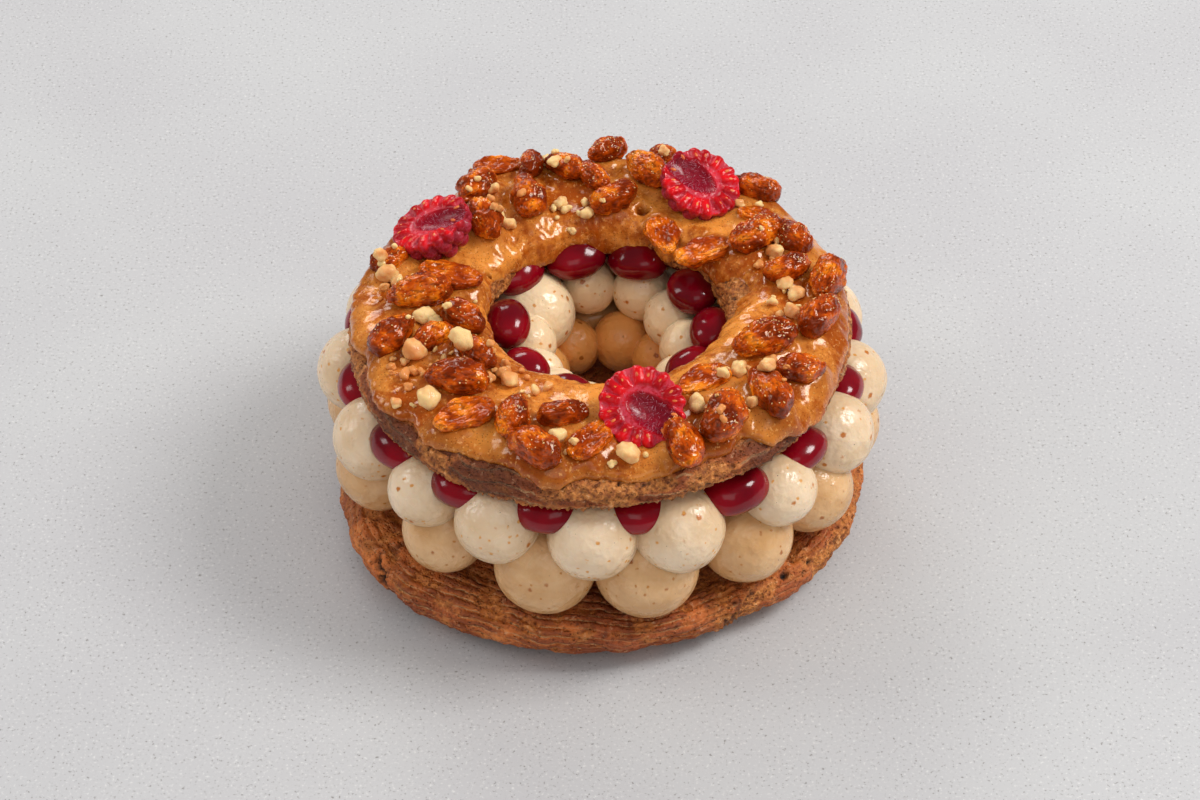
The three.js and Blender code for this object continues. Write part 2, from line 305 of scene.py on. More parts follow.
class Pattern(Bench):
    # a geometry tree with named inputs, run once on a mesh and then made plain
    def __init__(self, name, **inputs):
        self.group = bpy.data.node_groups.new(name, "GeometryNodeTree")
        super().__init__(self.group)
        face = self.group.interface
        face.new_socket("Points", in_out="INPUT", socket_type="NodeSocketGeometry")
        face.new_socket("Mesh", in_out="OUTPUT", socket_type="NodeSocketGeometry")
        self.values = inputs
        for key, value in inputs.items():
            kind = "NodeSocketInt" if isinstance(value, int) else "NodeSocketFloat"
            face.new_socket(key, in_out="INPUT", socket_type=kind)
        self.entry = self.tree.nodes.new("NodeGroupInput")

    def input(self, name):
        return Wire(self, self.entry.outputs[name])

    def named(self, name, kind="FLOAT"):
        return self.add("GeometryNodeInputNamedAttribute", {"data_type": kind}, {"Name": name})

    def keep(self, mesh, name, value, kind="FLOAT"):
        sockets = {0: mesh, "Name": name, "Value": value}
        return self.add("GeometryNodeStoreNamedAttribute", {"data_type": kind, "domain": "POINT"}, sockets)

    def ball(self, fineness="fineness"):
        sockets = {"Radius": 1.0, "Subdivisions": self.input(fineness)}
        return self.add("GeometryNodeMeshIcoSphere", {}, sockets)

    def place(self):
        return self.add("GeometryNodeInputPosition")

    def normal(self):
        return self.add("GeometryNodeInputNormal")

    def repeated(self, shape):
        # the shape at each point, with the point's own half sizes and turn
        turn = self.rotation(self.named("turn", "FLOAT_VECTOR"))
        return self.instances(self.input("Points"), shape, turn, self.named("half", "FLOAT_VECTOR"))

    def instances(self, points, shape, turn, size):
        sockets = {"Points": points, "Instance": shape, "Rotation": turn, "Scale": size}
        return self.add("GeometryNodeInstanceOnPoints", {}, sockets)

    def scattered(self, where, density):
        # points on the faces that are chosen, so many to a square metre
        sockets = {"Mesh": self.input("Points"), "Selection": where, "Density": density}
        return self.add("GeometryNodeDistributePointsOnFaces", {}, {**sockets, "Seed": self.input("seed")})

    def more(self, value, limit):
        settings = {"data_type": "FLOAT", "operation": "GREATER_THAN"}
        return self.add("FunctionNodeCompare", settings, {0: value, 1: limit})

    def chance(self, low, high):
        return self.add("FunctionNodeRandomValue", {"data_type": "FLOAT_VECTOR"}, {0: low, 1: high})

    def rotation(self, angles):
        return self.add("FunctionNodeEulerToRotation", {}, {0: angles})

    def realized(self, mesh):
        return self.add("GeometryNodeRealizeInstances", {}, {0: mesh})

    def shaped(self, mesh, place):
        return self.add("GeometryNodeSetPosition", {}, {"Geometry": mesh, "Position": place})

    def pushed(self, mesh, offset):
        return self.add("GeometryNodeSetPosition", {}, {"Geometry": mesh, "Offset": offset})

    def moved(self, mesh, place, size):
        sockets = {"Geometry": mesh, "Translation": place, "Scale": size}
        return self.add("GeometryNodeTransform", {}, sockets)

    def cut(self, operation, sockets):
        settings = {"operation": operation, "solver": "MANIFOLD"}
        return self.add("GeometryNodeMeshBoolean", settings, sockets)

    def finish(self, piece, mesh, material):
        mesh = self.realized(mesh)
        mesh = self.add("GeometryNodeSetMaterial", {}, {"Geometry": mesh, "Material": material})
        self.add("NodeGroupOutput", {}, {"Mesh": mesh})
        modifier = piece.modifiers.new("pattern", "NODES")
        modifier.node_group = self.group
        for item in self.group.interface.items_tree:
            if item.name in self.values:
                modifier[item.identifier] = self.values[item.name]
        graph = bpy.context.evaluated_depsgraph_get()
        made = bpy.data.meshes.new_from_object(piece.evaluated_get(graph))
        piece.modifiers.clear()
        piece.data = made
        return piece


def pointCloud(name, rows):
    # bare points in mm with their own half sizes and turns, for a pattern to work from
    piece = meshPiece(name, [row["at"] for row in rows], [])
    for key in ("half", "turn"):
        layer = piece.data.attributes.new(key, "FLOAT_VECTOR", "POINT")
        scale = mm if key == "half" else 1
        layer.data.foreach_set("vector", np.array([row[key] for row in rows], np.float32).ravel() * scale)
    return piece


def copyOf(name, piece):
    # a new object with a copy of a piece's mesh, for a pattern to grow things on
    return newObject(name, piece.data.copy())


def pipedBalls(name, rows, core, material, lumps):
    # balls squeezed out of a bag, welded where they touch, over the ring of filling behind them
    cloud = pointCloud(name, rows)
    tree = Pattern(name + " pattern", fineness=5, lumpSize=lumps["size"], lumpDepth=lumps["depth"] * mm)
    ring = tree.add("GeometryNodeObjectInfo", {}, {"Object": core}, 4)
    welded = tree.cut("UNION", {1: [tree.repeated(tree.ball()), ring]})
    field = tree.noise(tree.place(), 500 / tree.input("lumpSize"), 1.0, 1)
    away = tree.vector("SUBTRACT", field, (0.5, 0.5, 0.5))
    tree.finish(cloud, tree.pushed(welded, tree.scaled(away, tree.input("lumpDepth"))), material)
    bpy.data.objects.remove(core)
    return cloud


# where the layers lie, in mm from the middle of the whole

shift = {"x": 0.15, "y": 0.25}                       # the ring's own axis
holeMiddle = (1.5 + shift["x"], 8 + shift["y"])      # the fillings' hole sits towards the back
sizeSwing = [0, 0.03, -0.02, 0.02, -0.03, 0.01, -0.01]


def oval(turn):
    return 1.2 * cos(2 * radians(turn))


def outerRow(layer):
    # one ball at each bearing round the outside; `sizes` holds the few that were piped larger or smaller
    rows = []
    for i, turn in enumerate(layer["outer"]):
        size = layer["sizes"].get(turn, 1 + sizeSwing[i % len(sizeSwing)])
        x, y = onRing(turn, layer["outerRing"] + oval(turn), (shift["x"], shift["y"]))
        rows.append({
            "at": (x, y, layer["height"]),
            "half": tuple(side * size for side in layer["outerHalf"]),
            "turn": (0.1 * sin(7 * i), 0.1 * cos(5 * i), radians(turn)),
        })
    return rows


def innerRow(layer):
    # balls round the hole: bearing, distance from the hole's middle, size and, for some, a lift
    rows = []
    for i, (turn, radius, size, *lift) in enumerate(layer["inner"]):
        x, y = onRing(turn, radius, holeMiddle)
        rows.append({
            "at": (x, y, layer["innerHeight"] + sum(lift)),
            "half": tuple(side * size for side in layer["innerHalf"]),
            "turn": (0.08 * sin(7 * i), 0.08 * cos(5 * i), radians(turn)),
        })
    return rows


def coreRing(name, outer, inner, low, high):
    # the filling behind the balls: a ring with soft corners between two radii
    steps, around = 160, 16
    points = []
    for i in range(steps):
        outside = np.array(onRing(360 * i / steps, outer))
        inside = np.array(onRing(360 * i / steps, inner, holeMiddle))
        for k in range(around):
            angle = 2 * pi * (k + 0.5) / around
            across, lift = (0.5 + 0.5 * copysign(abs(side) ** 0.45, side)
                            for side in (cos(angle), sin(angle)))
            x, y = inside + (outside - inside) * across
            points.append((x, y, low + (high - low) * lift))
    return meshPiece(name, points, closedGrid(steps, around))


# materials

def plainFinish(name, light, dark, rough, glow):
    # a simple speckled finish for seeds, hairs and grains of sugar
    tool = Finish(name)
    broad = tool.grain(0.7, 2)
    colour = tool.blend(tool.between(broad, 0.35, 0.65), light, dark)
    return tool.coat(colour, rough + 0.15 * broad, [(broad, 0.08)], (glow, (0.001, 0.0005, 0.0003)))


def creamFinish(name, look):
    tool = Finish(name)
    patch = tool.between(tool.grain(5, 3), 0.35, 0.68)
    colour = tool.blend(patch, look["deep"], look["pale"])
    fromHole = tool.vector("SUBTRACT", tool.place, (holeMiddle[0] * mm, holeMiddle[1] * mm, 0))
    fromHole = tool.stretched(fromHole, (1, 1, 0))
    fromHole = tool.add("ShaderNodeVectorMath", {"operation": "LENGTH"}, {0: fromHole}, 1)
    # painted light and shade in the hole: near the hole's middle the cream takes the look's inner colour
    colour = tool.blend(tool.between(fromHole, 30 * mm, 23 * mm) * 0.8, colour, look["inner"])
    wobble = tool.stretched(tool.noise(tool.place, 900, out=1), (0.0009, 0.0009, 0.0009))
    place = tool.vector("ADD", tool.place, wobble)
    for size, wide, shade, share in look["flecks"]:
        pick = tool.add("ShaderNodeSeparateColor", {}, {0: tool.cells(place, size, 1)})
        away = tool.cells(place, size)
        spot = tool.between(away, wide, wide * 0.45) * tool.between(pick, 1 - share, 1 - share + 0.02)
        colour = tool.blend(spot, colour, shade)
    fine = tool.grain(0.35, 3, 0.6)
    soft = tool.grain(2.2, 2)
    dimple = tool.grain(1.1, 2)
    glow = (look["glow"], (0.0022, 0.0014, 0.0008))
    return tool.coat(colour, 0.12 + 0.26 * soft, [(soft, 0.5), (dimple, 0.26), (fine, 0.08)], glow, **{
        "Specular IOR Level": 0.75, "IOR": 1.48})


vanillaLook = {
    # inner is painted light in the hole, paler than the vanilla elsewhere
    "pale": "#eed5b4", "deep": "#dfc098", "inner": "#fadfb4", "glow": 0.3,
    # flecks: how far apart in mm, how wide as a share of that, colour, share of places that have one
    "flecks": [(3.8, 0.24, "#c07226", 0.35), (2.2, 0.26, "#dc9c50", 0.5), (1.7, 0.08, "#5a4636", 0.45)],
}
lowerLook = {
    # inner is painted shade in the hole, a deeper orange than the praline elsewhere
    "pale": "#e2b886", "deep": "#cf9f68", "inner": "#e69c4c", "glow": 0.25,
    "flecks": [(3.8, 0.22, "#a8601e", 0.35), (2.2, 0.22, "#c08038", 0.4), (1.6, 0.07, "#4a3222", 0.35)],
}


def gelFinish(look):
    tool = Finish("fruitGel")
    deep = tool.between(tool.grain(6, 2), 0.3, 0.7)
    colour = tool.blend(deep, look["deep"], look["bright"])
    soft = tool.grain(3.5, 2)
    return tool.coat(colour, 0.12 + 0.08 * soft, [(soft, 0.4)], (0.2, (0.003, 0.0003, 0.0003)), **{
        "Coat Weight": 0.25, "Coat Roughness": 0.06, "IOR": 1.38})


gelLook = {"deep": "#660010", "bright": "#900418"}


def chouxFinish(name, look):
    # baked pastry: dark on the ridges, pale and open where the skin has split
    tool = Finish(name)
    torn = tool.attribute("torn")
    broad = tool.grain(9, 4, 0.6)
    medium = tool.grain(2.4, 3, 0.6)
    fine = tool.grain(0.8, 5, 0.7)
    phase = tool.attribute("phase") + 0.28 * (medium - 0.5)
    crest = tool.sum("ABSOLUTE", tool.sum("SINE", phase * pi)) ** 0.7
    fluted = tool.attribute("fluted") * (1 - torn)
    skin = tool.blend(tool.between(broad, 0.35, 0.65), look["light"], look["dark"])
    skin = tool.blend(fluted * tool.between(crest, 0.45, 0.9) * 0.9, skin, look["crest"])
    skin = tool.blend(fluted * tool.between(crest, 0.5, 0.15) * 0.95, skin, look["groove"])
    skin = tool.blend(tool.between(medium, 0.5, 0.72) * 0.5, skin, look["crumb"])
    crumb = tool.blend(tool.between(fine, 0.35, 0.7), look["crumbDark"], look["crumb"])
    skin = tool.blend(tool.attribute("smooth"), skin, look["smooth"])
    skin = tool.blend(torn, skin, crumb)
    skin = tool.blend(tool.between(fine, 0.58, 0.7) * 0.5, skin, look["flour"])
    # painted shade: darker in the low spots of the fine relief, the pores
    skin = tool.blend(tool.between(fine, 0.5, 0.28) * 0.55, skin, look["poreShade"])
    # painted shade: the holes, cracks and crumb pits marked as hollow are painted near black
    skin = tool.blend(tool.attribute("hollow"), skin, look["holeShade"])
    pores = tool.cells(tool.place, 0.9)
    rough = 0.4 + 0.3 * fine
    bumps = [(crest * fluted, 0.8), (fine, 0.8), (tool.between(pores, 0.1, 0.45), 0.35)]
    return tool.coat(skin, rough, bumps, (0.05, (0.0012, 0.0006, 0.0003)))


chouxLook = {
    # the pore and hole colours are painted shade: dark in pores, near black in holes and cracks
    "light": "#e07a30", "dark": "#b45620", "crest": "#904212", "groove": "#ecb27a", "flour": "#f0c498",
    "crumb": "#e69444", "crumbDark": "#a0541c", "poreShade": "#56240a", "holeShade": "#1c0a05", "smooth": "#5a2c16",
}


def glazeFinish(look):
    tool = Finish("pralineGlaze")
    broad = tool.grain(7, 3, 0.55, 0.4)
    fine = tool.grain(0.6, 3, 0.6)
    ripple = tool.grain(2.2, 2)
    mottle = 0.6 * broad + 0.4 * tool.grain(1.2, 3, 0.7)
    colour = tool.blend(tool.between(mottle, 0.38, 0.6), look["deep"], look["pale"])
    # darker where the glaze runs thin at the outer rim; painted shade where it climbs against the nuts and
    # inside the burst pits
    thin = tool.attribute("thin")
    colour = tool.blend(thin * 0.8, colour, look["edge"])
    speck = tool.between(tool.cells(tool.place, 0.7), 0.3, 0.12)
    colour = tool.blend(speck * 0.6, colour, look["speck"])
    pale = tool.between(tool.grain(0.45, 2, 0.6), 0.58, 0.7)
    colour = tool.blend(pale * 0.45, colour, look["grain"])
    bumps = [(broad, 0.6), (ripple, 0.36), (fine, 0.07)]
    return tool.coat(colour, 0.1 + 0.12 * broad, bumps, (0.2, (0.0025, 0.0012, 0.0005)), **{
        "Coat Weight": 0.2, "Coat Roughness": 0.07, "Specular Tint": (1.0, 0.88, 0.72, 1), "IOR": 1.45})


# edge: darker where the glaze runs thin, and painted shade beside the nuts and in the burst pits
glazeLook = {
    "pale": "#e8953e", "deep": "#a84c0a", "edge": "#8c3c04", "speck": "#6a2c04", "grain": "#f2b468",
}


# the creams

vanilla = {
    "outer": [-157, -135, -115, -92, -72, -45, -21, -2, 22, 45, 67, 89, 112, 134, 156, 178],
    "outerRing": 57, "outerHalf": (10.3, 10.3, 10.1), "height": 38,
    "sizes": {-135: 0.88, -72: 1.04, -45: 0.88},
    "inner": [(-152, 19.4, .94), (-128, 21, .96), (-103, 23, 1), (-65, 23, 1), (-34, 21, .98),
              (4, 19.6, 1), (38, 20.4, 1.02), (70, 25, 1.03), (101, 26.6, 1), (140, 24.4, 1.46, -0.8),
              (171, 19.8, .98)],
    "innerHalf": (7.2, 7.2, 7.4), "innerHeight": 38.5,
    "core": (51, 30, 32, 44), "lumps": {"size": 7.0, "depth": 1.0},
}
praline = {
    "outer": [-161, -132, -104, -79, -52, -28, -3, 23, 48, 73, 98, 124, 149, 174],
    "outerRing": 54.8, "outerHalf": (11.6, 12.1, 11.6), "height": 25.2,
    "sizes": {-161: 0.93, -132: 0.86, -52: 0.92, -28: 0.9},
    "inner": [(-160, 17, .96), (-120, 18, 1), (-80, 18, 1.02), (-40, 17, 1), (3, 16.6, .98), (42, 17.4, 1),
              (79, 19.4, 1.06), (118, 19.4, .98), (156, 17.6, .94)],
    "innerHalf": (7.1, 7.1, 7.6), "innerHeight": 26,
    "core": (48, 24, 18.5, 30), "lumps": {"size": 8.0, "depth": 0.9},
}


def pipedRing(name, slot, node, layer, material):
    # one layer of filling: its balls, and the ring that they hide
    core = coreRing(name + " core", *layer["core"])
    piece = pipedBalls(name, outerRow(layer) + innerRow(layer), core, material, layer["lumps"])
    piece.data.shade_smooth()
    finishPiece(piece, slot, node)


vanillaFinish = creamFinish("vanillaCream", vanillaLook)
pralineFinish = creamFinish("pralineCream", lowerLook)
pipedRing("vanilla_cream", "vanilla_cream", "cream_upper", vanilla, vanillaFinish)
pipedRing("praline_cream", "praline_cream", "cream_lower", praline, pralineFinish)
print("creams piped")


# the fruit gel

gelShape = {
    "outer": [-169, -146, -125, -103, -82, -57, -36, -12, 10, 33, 56, 78, 101, 123, 145, 167],
    "outerRing": 56.5, "outerHalf": (6.0, 8.2, 4.8), "height": 44,
    "sizes": {-57: 1.02, -36: 0.9, -12: 0.94},
    "inner": [(-140, 25.6, .95, -2), (-111, 27.4, 1, -2.6), (-76, 26, 1, -3), (-40, 25.4, .95, -2),
              (-8, 25.2, .98, -1), (27, 22.8, 1.02, 0), (72, 23.4, 1.04, .3), (109, 24.6, 1.08, .3),
              (141, 28.6, 1.06, 0), (-176, 24.4, 1.04, -.4)],
    "innerHalf": (5.8, 7.2, 4.9), "innerHeight": 49,
    "core": (54, 30, 43, 48.2), "lumps": {"size": 5.0, "depth": 1.2},
}


pipedRing("fruit_gel_dollops", "gel", "fruit_gel", gelShape, gelFinish(gelLook))
print("gel laid")


# the baked rings

baseShape = {
    # a section through the ring: out from the axis, up, and how finely it is modelled
    "section": [(30, 0, .3), (44, 0, .3), (50, 0, .7), (56.5, 1.8, 1), (61, 5.8, 1), (62.5, 10, 1),
                (61.6, 13.4, 1), (58.6, 14.5, 1), (54.5, 14, .6), (30, 14, .25), (23.6, 12.6, .4),
                (22, 8.6, .4), (24.5, 2.4, .4)],
    "step": 0.42, "rounds": 800, "radius": 62.5, "holeRadius": 22,
    "outer": (1, 0), "inner": (1.5, 5),
    # bearings are in degrees: the middle, the half width and the soft edge
    "ridgeWidth": 2.0, "ridgeDepth": 0.9, "fluted": (-99, 37, 5), "torn": (-18, 42, 10),
    "bubbly": (-25, 60, 30), "bubbleGap": 5.5, "bubbleDepth": 1.6, "smooth": (-165, 22, 12),
    "roughDepth": 0.42, "lumpDepth": 0.8,
    # burst bubbles: bearing, out from the axis, up and half width
    "blowHoles": [(-46, 60.8, 13.7, 1.5), (-38.5, 61.4, 13.4, 1.1), (-20, 62.2, 11.4, 0.9),
                  (-150, 62.4, 9, 0.8)],
    # splits down the wall: bearing and lean, how each wanders (mm, size, seed), and half widths, mm
    # dark: how much the split is painted near black, as shade inside it
    "cracks": [{"at": -139, "lean": 0.9, "wander": (3.2, 3, 8), "wide": (1.5, 0.4),
                "deep": 1.5, "lip": 0, "dark": 1},
               {"at": -62, "lean": -0.6, "wander": (4, 3.4, 9), "wide": (1.6, 0.5),
                "deep": 0.9, "lip": 1.0, "dark": 0.6}],
    "crackMiddle": 7,          # height of a crack's middle, mm
    "perDegree": 1.05,         # mm to a degree of the wall
}
lidShape = {
    "section": [(30.4, 49, .7), (44, 49, .3), (56.6, 48.9, .8), (58.8, 49.9, 1), (59.5, 52, 1),
                (59.3, 54.8, 1), (57.9, 57, 1), (54.5, 57.9, .6), (49.5, 58.4, .3), (38.6, 58.4, .3),
                (32.9, 57.8, .6), (29.6, 56, 1), (28.8, 52, 1)],
    "step": 0.42, "rounds": 860, "radius": 59, "holeRadius": 29.3,
    "outer": (-1.6, -1.2), "inner": (0.9, 2.2), "lean": 0.016, "foldWidth": 3.2, "foldDepth": 1.0,
    "bald": [(-128, 16, 12), (-45, 7, 8)],          # where the skin stayed whole
    "roughDepth": 0.46, "crumbDepth": 0.7, "fringe": 1.8,
    # how the lower edge rises at bearings round the lid, mm
    "rise": [(-170, 0.4), (-140, 0.2), (-115, -0.4), (-100, -0.3), (-88, 0.8), (-72, 2.2), (-60, 2.6),
             (-48, 1.2), (-35, 0.3), (0, 0), (60, 0.8), (110, 0), (150, 0.6)],
}


def ringPiece(name, shape, wobble):
    # a ring whose hole is off centre, and for each of its points: place, normal, bearing, how far out and
    # up it was in the section, and the way along the section from its first corner, mm
    section = outlinePoints(shape["section"], shape["step"])
    turn = np.repeat(np.arange(shape["rounds"]) * 360 / shape["rounds"], len(section))
    out = np.tile(section[:, 0], shape["rounds"])
    up = np.tile(section[:, 1], shape["rounds"])
    inward = np.clip((shape["radius"] - out) / (shape["radius"] - shape["holeRadius"]), 0, 1)
    angle = np.radians(turn)
    radius = out + wobble(angle) * (1 - inward)
    (x0, y0), (x1, y1) = shape["outer"], shape["inner"]
    x = radius * np.cos(angle) + x0 + (x1 - x0) * inward + shift["x"]
    y = radius * np.sin(angle) + y0 + (y1 - y0) * inward + shift["y"]
    z = up + shape.get("lean", 0) * x
    steps = np.linalg.norm(np.diff(section, axis=0, prepend=section[:1]), axis=1)
    along = np.tile(np.cumsum(steps), shape["rounds"])
    places = np.stack([x, y, z], 1)
    piece = meshPiece(name, places, closedGrid(shape["rounds"], len(section)))
    return piece, places, faceNormals(piece), (turn + 180) % 360 - 180, out, up, along


def baked(piece, places, node, material, **marks):
    setPoints(piece.data, places)
    mark(piece, **marks)
    piece.data.materials.append(chouxFinish(material, chouxLook))
    settle(piece, node)
    finishPiece(piece, "choux", node)


def baseWobble(a):
    swells = 0.8 * np.sin(2 * a + 0.6) + 0.6 * np.sin(3 * a + 2.1) + 0.4 * np.sin(7 * a)
    return swells + 1.1 * np.exp(1.5 * np.cos(a + 2.75)) - 1.4 + 1.8 * np.exp(5 * np.cos(a + 0.3) - 5)


def bakedBase():
    shape = baseShape
    piece, places, normal, turn, out, up, along = ringPiece("choux_base_ring", shape, baseWobble)
    side = smoothstep(out, 50, 56) * smoothstep(up, 15.2, 13.2)           # the outer wall
    upper = smoothstep(out, 45, 52) * smoothstep(up, 11, 13.5)
    shown = np.maximum(side, upper)
    slow = waves(places * (1, 1, 0.4), 26, 2, 1)
    quick = waves(places * (1, 1, 0.3), 6, 2, 11)
    phase = along / shape["ridgeWidth"] + 1.3 * slow + 0.02 * turn + 0.2 * quick
    split = smoothstep(waves(places * (0.6, 0.6, 2), 7, 2, 12), 0.1, 0.45)     # where a groove closes up
    fluted = np.maximum(window(turn, *shape["fluted"]), 0.4) * shown * (1 - 0.75 * split)
    crest = np.abs(np.sin(np.pi * phase)) ** 0.7
    depth = fluted * (crest - 0.6) * shape["ridgeDepth"]
    rough = waves(places, 2.4, 4, 3)
    lumps = waves(places, 9, 2, 4)
    torn = window(turn, *shape["torn"]) * side * smoothstep(waves(places, 7, 2, 5) + 0.25, -0.1, 0.35)
    torn = np.maximum(torn, upper * smoothstep(waves(places, 5, 2, 15), 0.0, 0.35) * 0.8)
    holes = pits(places, shape["bubbleGap"], 0.2, 6) * (0.4 + 0.6 * window(turn, *shape["bubbly"]))
    for bearing, far, height, wide in shape["blowHoles"]:
        aside = np.radians((turn - bearing + 180) % 360 - 180) * out
        away = np.sqrt(aside ** 2 + (out - far) ** 2 + (up - height) ** 2)
        holes = np.maximum(holes, smoothstep(away, wide, wide * 0.5) * shown)
    crumbs = pits(places, 1.5, 0.6, 7)
    depth = depth + shape["roughDepth"] * rough * shown + shape["lumpDepth"] * lumps * shown
    depth = depth - torn * (0.5 + 0.8 * crumbs) - holes * shape["bubbleDepth"] * shown
    # painted shade: hollow marks the holes and cracks, which the pastry finish paints near black
    hollow = holes
    for crack in shape["cracks"]:
        bend, size, seed = crack["wander"]
        line = (turn - crack["at"]) * shape["perDegree"] + (up - shape["crackMiddle"]) * crack["lean"]
        line = np.abs(line + bend * waves(places, size, 3, seed))
        cut = smoothstep(line, *crack["wide"]) * side
        depth = depth - cut * crack["deep"] + crack["lip"] * smoothstep(line, 4, 1) * side
        hollow = hollow + cut * crack["dark"]
    smooth = window(turn, *shape["smooth"]) * smoothstep(lumps, 0.2, -0.2) * 0.35
    places = places + normal * depth[:, None]
    places[:, 2] = np.where(up < 0.01, 0, places[:, 2])          # the flat underside
    baked(piece, places, "choux_base", "bakedBase", phase=phase, fluted=fluted, torn=torn,
          hollow=np.clip(hollow, 0, 1), smooth=smooth)


def lidWobble(a):
    return 1.1 * np.cos(a + 0.7) + 0.5 * np.sin(3 * a) + 0.4 * np.sin(5 * a + 1)


def bakedLid():
    shape = lidShape
    piece, places, normal, turn, out, up, along = ringPiece("choux_lid_ring", shape, lidWobble)
    edge = np.maximum(smoothstep(out, 50, 56), smoothstep(out, 34, 31))
    places[:, 2] += roundTheRing(shape["rise"], turn) * smoothstep(up, 54, 49.5) * smoothstep(out, 45, 54)
    fringe = edge * smoothstep(up, 50.8, 49.2)
    rough = waves(places, 1.6, 4, 13)
    crumbs = pits(places, 1.4, 0.6, 14)
    phase = along / shape["foldWidth"] + 0.7 * waves(places * (1, 1, 0.4), 12, 2, 16) + 0.015 * turn
    folds = 1 - np.abs(np.sin(np.pi * phase)) ** 0.7
    bald = np.max([window(turn, *place) for place in shape["bald"]], axis=0)
    skin = smoothstep(waves(places * (1, 1, 2), 10, 2, 17) + 0.35 * bald, -0.05, 0.2)
    skin = skin * (1 - fringe) * smoothstep(out, 50, 56)
    torn = np.clip(1 - skin, 0, 1)
    relief = shape["roughDepth"] * rough - torn * shape["crumbDepth"] * crumbs
    depth = edge * (relief + shape["foldDepth"] * (folds - 0.4) * skin)
    places = places + normal * depth[:, None]
    places[:, 2] -= fringe * (shape["fringe"] * np.abs(waves(places, 1.2, 3, 18)) - 0.15)
    # painted shade: the deepest pits in the torn crumb get the near-black hole colour
    crumbPitShade = np.clip(crumbs ** 2 * torn * 0.7 + smoothstep(rough, -0.3, -0.7) * torn * 0.6, 0, 1)
    smooth = skin * (0.15 + 0.8 * bald) * (0.5 + 0.5 * folds)
    baked(piece, places, "choux_lid", "bakedLid", phase=phase, fluted=skin, torn=torn, hollow=crumbPitShade,
          smooth=smooth)


bakedBase()
bakedLid()
print("pastry baked")


# candied nuts: each in the place and along the long axis of its own solid

def seatOf(name):
    # the middle, the three axes (long, wide, thick) and the half sizes of a nut's solid
    places = np.unique(np.round(pointsOf(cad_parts[name].data), 3), axis=0)
    axes = np.linalg.eigh(np.cov((places - places.mean(0)).T))[1][:, ::-1].T
    if axes[2][2] < 0:
        axes[2] = -axes[2]
    axes[1] = np.cross(axes[2], axes[0])
    along = places @ axes.T
    low, high = along.min(0), along.max(0)
    return {"at": ((low + high) / 2) @ axes, "axes": axes, "half": (high - low) / 2}


nutShape = {
    "swell": 1.06,               # the finished nut against its solid
    "sunk": 0.9,                 # how far each is pressed into the glaze, mm
    "backLift": 0.8,             # those along the back edge lie higher, mm
    "taper": 0.13, "bend": 0.1,
    "lump": 1.0, "wrinkle": 0.22, "sugar": 0.5,     # heights of the relief, mm
}
nutNames = sorted(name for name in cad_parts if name.startswith("nut_"))
seats = {name: seatOf(name) for name in nutNames}
isSplit = {name: seat["half"][2] < 0.7 * seat["half"][1] for name, seat in seats.items()}


def nutRow(name, count):
    seat = seats[name]
    half = seat["half"] * nutShape["swell"]
    turned = Matrix(seat["axes"].T.tolist())
    if count % 2:          # every other nut is turned end for end
        turned = turned @ Matrix.Rotation(pi, 3, "Z")
    sunk = nutShape["sunk"] - nutShape["backLift"] * smoothstep(seat["at"][1], 38, 50)
    at = seat["at"] - np.array([0, 0, sunk])
    return {"at": tuple(at), "half": tuple(half), "turn": tuple(turned.to_euler())}


def nutPiece(name, split, material):
    names = [each for each in nutNames if isSplit[each] == split]
    cloud = pointCloud(name, [nutRow(each, i) for i, each in enumerate(names)])
    shape = nutShape
    relief = {key: shape[key] * mm for key in ("lump", "wrinkle", "sugar")}
    tree = Pattern(name + " pattern", fineness=5, taper=shape["taper"], bend=shape["bend"],
                   split=float(split), **relief)
    x, y, z = tree.split(tree.place())
    narrow = 1 - tree.input("taper") * x
    flat = tree.sum("MINIMUM", z, 0.5 - 0.16 * (1 - y * y))          # the face where a nut has split
    z = z + (flat - z) * tree.input("split")
    place = tree.join(x, y * narrow + tree.input("bend") * (x * x - 0.5), z * narrow)
    nut = tree.keep(tree.shaped(tree.ball(), place), "inNut", place, "FLOAT_VECTOR")
    nuts = tree.realized(tree.repeated(nut))
    spot = tree.place()
    far = tree.vector("ADD", tree.named("inNut", "FLOAT_VECTOR"), tree.stretched(spot, (0, 0, 90)))
    lump = tree.noise(spot, 210.0, 1.0)
    wrinkle = tree.sum("ABSOLUTE", tree.noise(tree.stretched(far, (1.3, 3.4, 3.4)), 1.3) - 0.5) * 5
    sugar = tree.noise(spot, 620.0)
    relief = (lump - 0.5) * 2.4 * tree.input("lump") + (wrinkle - 0.5) * tree.input("wrinkle")
    relief = relief + (sugar - 0.5) * 2.4 * tree.input("sugar")
    nuts = tree.pushed(nuts, tree.scaled(tree.normal(), relief))
    tree.finish(cloud, tree.keep(nuts, "wrinkle", wrinkle), material)
    cloud.data.shade_smooth()
    finishPiece(cloud, "nut", *names)
    return cloud


